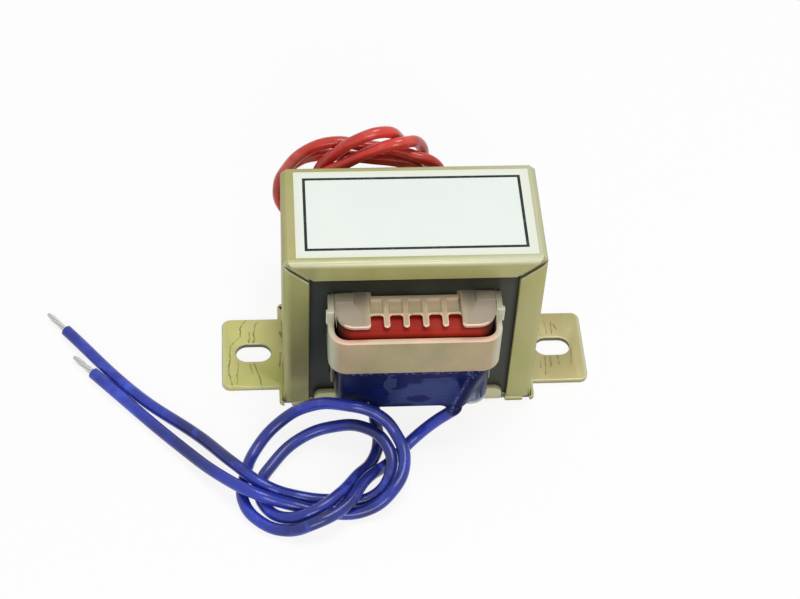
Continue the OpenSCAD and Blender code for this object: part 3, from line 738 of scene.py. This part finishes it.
# %% A bundle of strands for each lead
def stripped_end(node):
    """A bundle that starts at the end of a lead and runs on along it."""
    before, end = (Vector(place) * MM for place in ROUTES[node][-2:])
    bundle = [strand(0.0)]
    for i in range(6):
        outer = strand(STRAND_PITCH_R)
        outer.rotation_euler.z = i * math.tau / 6
        bundle.append(outer)
    deselect_all()
    for piece in bundle:
        piece.select_set(True)
    bpy.context.view_layer.objects.active = bundle[0]
    bpy.ops.object.transform_apply(location=True, rotation=True, scale=True)
    bpy.ops.object.join()
    tip = bpy.context.object
    tip.name = "stripped_" + node
    tip.rotation_mode = "QUATERNION"
    tip.rotation_quaternion = (end - before).to_track_quat("Z", "Y")
    tip.location = end
    settle(tip)
    shade_smooth(tip, 50)
    tip.data.materials.append(tinned.material)
    return tip


for node, lead in leads.items():
    tip = stripped_end(node)
    slot = "lead_blue" if node.startswith("secondary") else "lead_red"
    finish_piece(lead, slot, node)
    finish_piece(tip, "tinned_wire", node.replace("lead", "tip"))
    print(tip.name, "has", len(tip.data.polygons), "faces")

# %% [markdown]
# ## Rounded edges
# A sheared sheet has a small round edge on one side, and a moulding has one everywhere. The CAD
# solids are sharp. A copy of each is cleaned, its flat faces are joined, and a narrow bevel
# catches the light along every edge. Modelling these pieces anew would lose what the CAD
# already has right, so the copy stands for the solid.

# %% Softened copies of the CAD solids
PLAIN, EDGE, CUT = 0, 1, 2
MERGE_DISTANCE = 0.001 * MM
FLAT_ANGLE, ROUND_ANGLE = math.radians(0.5), math.radians(40)
EDGE_ROUND, WOUND_ROUND = 0.22 * MM, 1.0 * MM


def softened(node, name, material, slot, width=EDGE_ROUND, edge=None, segments=2, shape=None):
    """A copy of a CAD node that is shaped further, if need be, and then bevelled."""
    mesh = cad[node].data.copy()
    mesh.materials.clear()
    mesh.materials.append(material)
    if edge:
        mesh.materials.append(edge)
    piece = bpy.data.objects.new(name, mesh)
    bpy.context.scene.collection.objects.link(piece)
    make_active(piece)
    bpy.ops.object.mode_set(mode="EDIT")
    bpy.ops.mesh.select_all(action="SELECT")
    bpy.ops.mesh.remove_doubles(threshold=MERGE_DISTANCE)
    bpy.ops.mesh.dissolve_limited(angle_limit=FLAT_ANGLE)
    bpy.ops.object.mode_set(mode="OBJECT")
    for polygon in mesh.polygons:
        polygon.material_index = PLAIN
    if shape:
        shape(piece)
    add_modifier(
        piece, "BEVEL", width=width, segments=segments, limit_method="ANGLE",
        angle_limit=ROUND_ANGLE, use_clamp_overlap=False, material=EDGE if edge else -1,
    )
    apply_all(piece)
    shade_smooth(piece, 32)
    finish_piece(piece, slot, node)
    print(name, "has", len(piece.data.polygons), "faces")
    return piece


# %% [markdown]
# ## Frame and base plate
# The frame's tabs are pushed through holes in the base plate and staked. The CAD keeps a small
# clearance round each tab, and light from the floor would shine through it. On the real part the
# staking presses the hole shut, so here the outer side of each hole is moved up to its tab.

# %% The base plate closes up round the frame's staked tabs
HOLE_OUTER_SIDE, HOLE_FROM, HOLE_TO = 25.1, 2.8, 8.2
STAKED_BY = 0.2


def close_up(piece):
    """Moves the outer side of each tab's hole in against the tab."""
    for side in (-1, 1):
        def on_outer_side(p):
            return abs(side * p.x - HOLE_OUTER_SIDE) < 0.02 and HOLE_FROM < abs(p.y) < HOLE_TO

        count = move_points(piece, on_outer_side, (-side * STAKED_BY, 0, 0))
        print("staked hole points:", count)


channel = softened(
    "channel_frame", "folded_frame", frame_plating.material, "frame_zinc",
    edge=worn_edge.material,
)
plate = softened(
    "base_plate", "pressed_base", plate_plating.material, "frame_zinc",
    edge=worn_edge.material, shape=close_up,
)

# %% [markdown]
# The mitred corners and the walls of the bolt slots lie in narrow gaps, so painted shade makes
# their faces dark steel. The edges round the frame's opening lie near the core, where nothing
# rubs them, and keep the film. Faces are told apart by place and normal, because a bevelled copy
# has hundreds of them.

# %% Painted shade on the cut faces
FRAME_HALF, FRAME_TOP, FLANGE_BACK = 25.0, 42.2, 11.9
SIDE_FLANGE, TOP_FLANGE = 5.0, 4.6
OPENING_HALF, OPENING_TOP = 20.4, 37.4
MITRE_REACH, MITRE_INNER, MITRE_LOW = 1.1, 19.0, 35.9
SLOT_FROM, SLOT_TO, SLOT_HALF = 27.0, 34.8, 2.4


def on_mitre(c, n):
    """True for the steep faces at the corners where side and top flanges meet."""
    steep = min(abs(n.x), abs(n.z)) > 0.35 and abs(n.y) < 0.3
    in_corner = abs(c.x) > MITRE_INNER and abs(c.y) > FLANGE_BACK and c.z > MITRE_LOW
    return steep and in_corner


def near_diagonal(c):
    """True within reach of the line from the frame's corner to the opening's."""
    diagonal = (FRAME_TOP - c.z) * SIDE_FLANGE / TOP_FLANGE
    return abs(FRAME_HALF - abs(c.x) - diagonal) < MITRE_REACH


# Painted shade: the mitre faces and the slot walls lie in narrow gaps.
shaded_cut_steel = Finish("shaded_cut_steel", (0.13, 0.13, 0.09), 0.5, metallic=0.3, Specular_IOR_Level=0.2)
channel.data.materials.append(shaded_cut_steel.material)
for polygon in channel.data.polygons:
    c, n = polygon.center / MM, polygon.normal
    if on_mitre(c, n):
        if near_diagonal(c):
            polygon.material_index = CUT
    elif abs(c.x) < OPENING_HALF and c.z < OPENING_TOP and abs(c.y) > FLANGE_BACK:
        polygon.material_index = PLAIN
plate.data.materials.append(shaded_cut_steel.material)
for polygon in plate.data.polygons:
    c, n = polygon.center / MM, polygon.normal
    if SLOT_FROM < abs(c.x) < SLOT_TO and abs(c.y) < SLOT_HALF and abs(n.z) < 0.2:
        polygon.material_index = CUT
for piece in (channel, plate):
    print(piece.name, "cut faces:", sum(p.material_index == CUT for p in piece.data.polygons))

# %% [markdown]
# ## Bobbin, covers and primary winding
# The bobbin's flanges are plates with pads at their corners and a comb of fingers between them,
# and both thin out towards their free edges. The CAD gives them one thickness. Moving a few
# groups of points before the bevel keeps every other face as it is, which a new model of the
# whole bobbin would not. The covers' cheeks are raised in the same way.

# %% The bobbin's flanges thin out towards their free edges
FLANGE_UNDERSIDES = ((1, 31.1), (-1, 11.3))
PAD_THINNED, COMB_THINNED, FLANGE_RAISED = 1.0, 0.5, 0.3
ABOVE_COIL = 31.0
FLANGE_FROM = 16.9
COMB_HALF, FINGERS_HALF = 8.64, 8.6


def thin_flanges(piece):
    """Raises the undersides of the flanges, and fits the upper pads to the covers' cheeks."""
    for side, level in FLANGE_UNDERSIDES:
        def on_face(p):
            return abs(p.z - level) < 0.05 and abs(p.y) > FLANGE_FROM

        def on_pad(p):
            return on_face(p) and abs(p.x) > COMB_HALF

        def on_comb(p):
            return on_face(p) and abs(p.x) < COMB_HALF

        pads = move_points(piece, on_pad, (0, 0, side * PAD_THINNED))
        comb = move_points(piece, on_comb, (0, 0, side * COMB_THINNED))
        print("flange at", level, "mm:", pads, "pad points and", comb, "comb points moved")
    for side in (-1, 1):
        upper_moves = (
            # The sides of the pads, the ends of the pads, the fingers and the notches' backs
            (lambda p: side * p.x > 14.6 and 12.4 < abs(p.y) < 17.9, (side * 0.35, 0, 0)),
            (lambda p: side * p.y > 17.7 and abs(p.x) > FINGERS_HALF, (0, -side * 0.45, 0)),
            (lambda p: side * p.y > 19.2 and abs(p.x) < FINGERS_HALF, (0, -side * 0.35, 0)),
            (lambda p: 17.0 < side * p.y < 18.7 and abs(p.x) < FINGERS_HALF, (0, -side * 0.2, 0)),
        )
        for wanted, offset in upper_moves:
            move_points(piece, lambda p: p.z > ABOVE_COIL and wanted(p), offset)
    move_points(piece, lambda p: p.z > ABOVE_COIL, (0, 0, FLANGE_RAISED))


CHEEK_FROM, CHEEK_RAISED = 32.0, 0.5


def raise_cheeks(piece):
    """The cheeks of a cover end level with the bobbin's pads."""
    count = move_points(piece, lambda p: p.z > CHEEK_FROM, (0, 0, CHEEK_RAISED))
    print("cheek points raised:", count)


bobbin = softened(
    "bobbin", "moulded_bobbin", bobbin_nylon, "bobbin_nylon",
    edge=bobbin_edge_glow, segments=3, shape=thin_flanges,
)
softened(
    "primary_winding", "wound_primary", enamel.material, "copper_wire",
    width=WOUND_ROUND, segments=4,
)
covers = [
    softened(
        end + "_winding_cover", "moulded_" + end + "_cover", cover_nylon, "cover_nylon",
        edge=cover_edge_glow, segments=3, shape=raise_cheeks,
    )
    for end in ("front", "rear")
]

# %% [markdown]
# Only the edges that stand free catch the light, so only they and the top of each cover's rim keep
# the painted glow. The shallow pockets behind the notches keep the plain finish, and so do all the
# cover's edges below its rim.

# %% Keep the bright edges where they stand free
COVER_RIM = 29.5


def keep_bright(piece, wanted):
    """Takes the painted edge glow off every face of a piece whose place isn't wanted."""
    for polygon in piece.data.polygons:
        if polygon.material_index == EDGE and not wanted(polygon.center / MM):
            polygon.material_index = PLAIN
    kept = sum(polygon.material_index == EDGE for polygon in piece.data.polygons)
    print(piece.name, "keeps", kept, "bright faces")


def free_edge(c):
    """True for the fingers, the notches between them and the ends of the pads."""
    return c.z > ABOVE_COIL and abs(c.y) > 17.0 and (abs(c.y) > 20.0 or abs(c.x) < 9.0)


keep_bright(bobbin, free_edge)
for cover in covers:
    for polygon in cover.data.polygons:
        if polygon.normal.z > 0.5 and polygon.center.z > COVER_RIM * MM:
            polygon.material_index = EDGE
    keep_bright(cover, lambda c: c.z > COVER_RIM and abs(c.y) > 13.0)

# %% [markdown]
# ## Tape round the coils
# Each coil is closed by a few turns of tape. The ring starts as a block whose upright edges are
# bevelled to the coil's corners and whose two ends are cut open. A wall is added last, because
# a single skin is easier to pull about.

# %% Helpers for the tape
TAPE_HALF_X, RED_HALF_Y, BLUE_HALF_Y = 14.75, 20.25, 21.55
TAPE_CORNER = 2.8


def cut_across(piece, axis, places):
    """Cuts the whole piece by planes square to an axis, at places in millimetres."""
    make_active(piece)
    bpy.ops.object.mode_set(mode="EDIT")
    normal = Vector((axis == "X", axis == "Y", axis == "Z"))
    for place in places:
        bpy.ops.mesh.select_all(action="SELECT")
        bpy.ops.mesh.bisect(plane_co=normal * place * MM, plane_no=normal)
    bpy.ops.object.mode_set(mode="OBJECT")


def tape_ring(name, half_y, low, high):
    deselect_all()
    bpy.ops.mesh.primitive_cube_add(size=1, location=(0, 0, (low + high) / 2 * MM))
    ring = bpy.context.object
    ring.name = ring.data.name = name
    ring.scale = (2 * TAPE_HALF_X * MM, 2 * half_y * MM, (high - low) * MM)
    settle(ring)
    pick(ring, "FACE", lambda face: abs(face.normal.z) > 0.9)
    bpy.ops.mesh.delete(type="FACE")

    def upright(edge):
        a, b = (ring.data.vertices[i].co for i in edge.vertices)
        return abs(a.z - b.z) > MM

    pick(ring, "EDGE", upright)
    bpy.ops.mesh.bevel(offset=TAPE_CORNER * MM, segments=6, clamp_overlap=False)
    bpy.ops.object.mode_set(mode="OBJECT")
    return ring


def finish_tape(ring, thickness, degrees, tape, slot, replaced):
    """Gives the skin its wall inwards, and finishes it."""
    add_modifier(ring, "SOLIDIFY", thickness=thickness * MM, offset=-1)
    apply_all(ring)
    shade_smooth(ring, degrees)
    ring.data.materials.append(tape.material)
    finish_piece(ring, slot, replaced)
    print(ring.name, "has", len(ring.data.polygons), "faces")


# %% [markdown]
# The last turn of the red tape laps over the top of its coil. The upper rim of the ring is
# lowered and then extruded in four steps, each a little higher and further in, so that the tape
# turns over in a round bend and ends in a nearly flat lap.

# %% Red tape, lapped over the top of its coil
RED_LOW, RED_HIGH = 21.7, 31.0
RED_SHOULDER = 29.9
RED_LAP = ((0.55, 14.62, 20.12), (0.35, 14.3, 19.8), (0.2, 13.8, 19.3), (0.05, 11.2, 15.8))

red_ring = tape_ring("tape_over_primary", RED_HALF_Y, RED_LOW, RED_HIGH)
cut_across(red_ring, "Z", [RED_SHOULDER])
pick_points(red_ring, lambda p: p.z > RED_HIGH - 0.1)
bpy.ops.transform.translate(value=(0, 0, (RED_SHOULDER - RED_HIGH) * MM))
half_x, half_y = TAPE_HALF_X, RED_HALF_Y
for rise, next_x, next_y in RED_LAP:
    bpy.ops.mesh.extrude_region_move(TRANSFORM_OT_translate={"value": (0, 0, rise * MM)})
    bpy.ops.transform.resize(value=(next_x / half_x, next_y / half_y, 1))
    half_x, half_y = next_x, next_y
bpy.ops.mesh.select_all(action="SELECT")
bpy.ops.mesh.remove_doubles(threshold=MERGE_DISTANCE)
bpy.ops.mesh.normals_make_consistent(inside=False)
bpy.ops.object.mode_set(mode="OBJECT")
finish_tape(red_ring, 0.04, 50, red_tape, "tape_red", "primary_tape")

# %% [markdown]
# The blue tape lies over the first lead of its coil, and so its ring is cut into small cells,
# which can follow that shape. A subdivision would cut them too, but not at the borders of the
# two tabs. Below the coil only these tabs stay, and the front one reaches right to the lead.

# %% Blue tape, cut into small cells
BLUE_LOW, BLUE_HIGH = 9.8, 20.7
TAB_TOP, TAB_HALF, FRONT_TAB_RIGHT = 11.4, 8.55, 9.8
CELL_X, CELL_Z, FIRST_CUT_Z = 0.7, 0.6, 10.4

blue_ring = tape_ring("tape_over_secondary", BLUE_HALF_Y, BLUE_LOW, BLUE_HIGH)
cut_across(blue_ring, "X", [-TAB_HALF, TAB_HALF] + [x * CELL_X for x in range(-17, 18)])
cut_across(blue_ring, "Z", [TAB_TOP] + [FIRST_CUT_Z + z * CELL_Z for z in range(17)])
cut_across(blue_ring, "Y", [-19, 0, 19])
print("blue tape cells:", len(blue_ring.data.polygons))


def below_coil(face):
    """True for the cells below the coil that are on neither tab."""
    c = face.center / MM
    tab_right = FRONT_TAB_RIGHT if c.y < 0 else TAB_HALF
    beside_tab = c.x > tab_right or c.x < -TAB_HALF or abs(c.y) < BLUE_HALF_Y - 0.05
    return c.z < TAB_TOP and beside_tab


pick(blue_ring, "FACE", below_coil)
bpy.ops.mesh.delete(type="FACE")
bpy.ops.object.mode_set(mode="OBJECT")

# %% [markdown]
# A row of points over the lead is drawn outwards, and its neighbours follow less and less, the
# way a film drapes. A second, narrower pass makes the ridge steeper, and smoothing takes out the
# steps of the cells. A cloth simulation would do the same with far more waiting.

# %% Drape it over the lead
RIDGE_LENGTH = 10.4
RIDGE_PASSES = ((0.9, 1.3, 1.9), (0.5, 0.8, 1.5))
SMOOTHED_REACH, SMOOTHED_TOP = 2.6, 20.0


def beside_lead(p, reach):
    """True for points of the front that lie within reach of the line of the lead."""
    along = (RIDGE_HEAD - RIDGE_FOOT).normalized()
    offset = Vector((p.x, 0, p.z)) - RIDGE_FOOT
    distance = (offset - along * offset.dot(along)).length
    return p.y < -21.0 and 0 <= offset.dot(along) <= RIDGE_LENGTH and distance < reach


for reach, out, follow in RIDGE_PASSES:
    count = move_points(
        blue_ring, lambda p: beside_lead(p, reach), (0, -out, 0), use_proportional_edit=True,
        proportional_edit_falloff="SMOOTH", proportional_size=follow * MM,
    )
    print("lead ridge:", count, "points drawn out by", out, "mm")
pick_points(blue_ring, lambda p: beside_lead(p, SMOOTHED_REACH) and p.z < SMOOTHED_TOP)
bpy.ops.mesh.vertices_smooth(factor=0.5, repeat=5)
bpy.ops.object.mode_set(mode="OBJECT")
finish_tape(blue_ring, 0.1, 60, blue_tape, "tape_blue", "secondary_tape")

# %% [markdown]
# Where the lead leaves the coil, the tape's last turn is drawn round it. A sphere, stretched
# along the lead and tilted with it, covers the cut start of the lead and sinks into the ridge.

# %% The tape's last turn round the lead
WRAP_AT, WRAP_RADII = Vector((8.0, -22.9, 10.1)) * MM, Vector((1.27, 1.27, 2.0)) * MM
WRAP_TILT = math.radians(45)

deselect_all()
bpy.ops.mesh.primitive_uv_sphere_add(segments=28, ring_count=18, radius=1.0, location=WRAP_AT)
wrap = bpy.context.object
wrap.name = wrap.data.name = "tape_round_lead"
wrap.scale = WRAP_RADII
wrap.rotation_euler = (0, WRAP_TILT, 0)
settle(wrap)
shade_smooth(wrap, 60)
wrap.data.materials.append(blue_tape.material)
finish_piece(wrap, "tape_blue")
print(wrap.name, "size in mm:", [round(v / MM, 1) for v in wrap.dimensions])

# %% [markdown]
# ## Finishes of the pieces that keep their solids
# The flat sheets, the label with its border and the secondary winding keep their CAD shape,
# because a bevel on them would be too small to see. They only take a material.

# %% Dress the CAD nodes
def dress(material, *nodes):
    for node in nodes:
        cad[node].data.materials.clear()
        cad[node].data.materials.append(material)


sheets = [node for node in cad if "lamination" in node]
dress(core.material, *sheets)
dress(paper.material, "label")
dress(ink.material, "label_border")
dress(enamel.material, "secondary_winding")
print("core sheets dressed:", len(sheets))

# %% [markdown]
# ## Floor and light
# The part stands on a plain white sweep. A floor that is lit until it is white would throw too
# much light back, so it is lifted to white only for rays that come from the camera, directly or
# by a mirror or through a clear layer.


# %% Floor
def seen_rays(tree):
    """A mask that is 1 for camera, glossy and transmission rays, and 0 for the others."""
    path = tree.nodes.new("ShaderNodeLightPath")
    mask = path.outputs["Is Camera Ray"]
    for ray in ("Is Glossy Ray", "Is Transmission Ray"):
        either = tree.nodes.new("ShaderNodeMath")
        either.operation = "MAXIMUM"
        tree.links.new(mask, either.inputs[0])
        tree.links.new(path.outputs[ray], either.inputs[1])
        mask = either.outputs["Value"]
    return mask


FLOOR_SIZE, FLOOR_GLOW = 6.0, 0.86
deselect_all()
bpy.ops.mesh.primitive_plane_add(size=FLOOR_SIZE, location=(0, 0, 0))
floor = bpy.context.object
floor.name = "floor"
sheet = Finish("floor_white", (0.92, 0.92, 0.92), 0.9)
glow = sheet.node("ShaderNodeEmission")
glow.inputs["Strength"].default_value = 1.0
blend = sheet.node("ShaderNodeMixShader")
sheet.feed(sheet.product(seen_rays(sheet.tree), FLOOR_GLOW), blend.inputs["Fac"])
sheet.feed(sheet.shader.outputs["BSDF"], blend.inputs[1])
sheet.feed(glow.outputs["Emission"], blend.inputs[2])
sheet.feed(blend.outputs["Shader"], sheet.tree.nodes["Material Output"].inputs["Surface"])
floor.data.materials.append(sheet.material)
print("floor:", floor.dimensions.x, "m wide")

# %% [markdown]
# A soft light hangs above the part, a little to the right and behind, and a weaker one fills in
# from the front. Both are wide discs, because a small lamp would draw hard shadows between the
# leads. The world fills what is left, but it looks white where it is seen or mirrored.

# %% Lights
LIGHT_SIZE = 0.4
AIM = Vector((0, 0, 0.02))


def soft_light(name, place, power):
    """A round lamp that points at the part."""
    data = bpy.data.lights.new(name, "AREA")
    data.shape, data.size, data.energy = "DISK", LIGHT_SIZE, power
    lamp = bpy.data.objects.new(name, data)
    lamp.location = place
    lamp.rotation_mode = "QUATERNION"
    lamp.rotation_quaternion = (AIM - Vector(place)).to_track_quat("-Z", "Y")
    bpy.context.scene.collection.objects.link(lamp)


soft_light("top_softbox", (0.1, 0.1, 0.75), 2.6)
soft_light("front_fill", (0.05, -0.65, 0.36), 1.9)

# %% World
FILL_STRENGTH, SEEN_STRENGTH = 0.42, 1.0
world = bpy.data.worlds.new("studio")
bpy.context.scene.world = world
world.use_nodes = True
tree = world.node_tree
backdrop = tree.nodes["Background"]
backdrop.inputs["Color"].default_value = (1, 1, 1, 1)
level = tree.nodes.new("ShaderNodeMapRange")
level.inputs["To Min"].default_value = FILL_STRENGTH
level.inputs["To Max"].default_value = SEEN_STRENGTH
tree.links.new(seen_rays(tree), level.inputs["Value"])
tree.links.new(level.outputs["Result"], backdrop.inputs["Strength"])
bpy.context.scene.view_settings.view_transform = "Standard"
print("lights:", [item.name for item in bpy.data.lights])

# %% [markdown]
# ## The end

# %% The end
deselect_all()
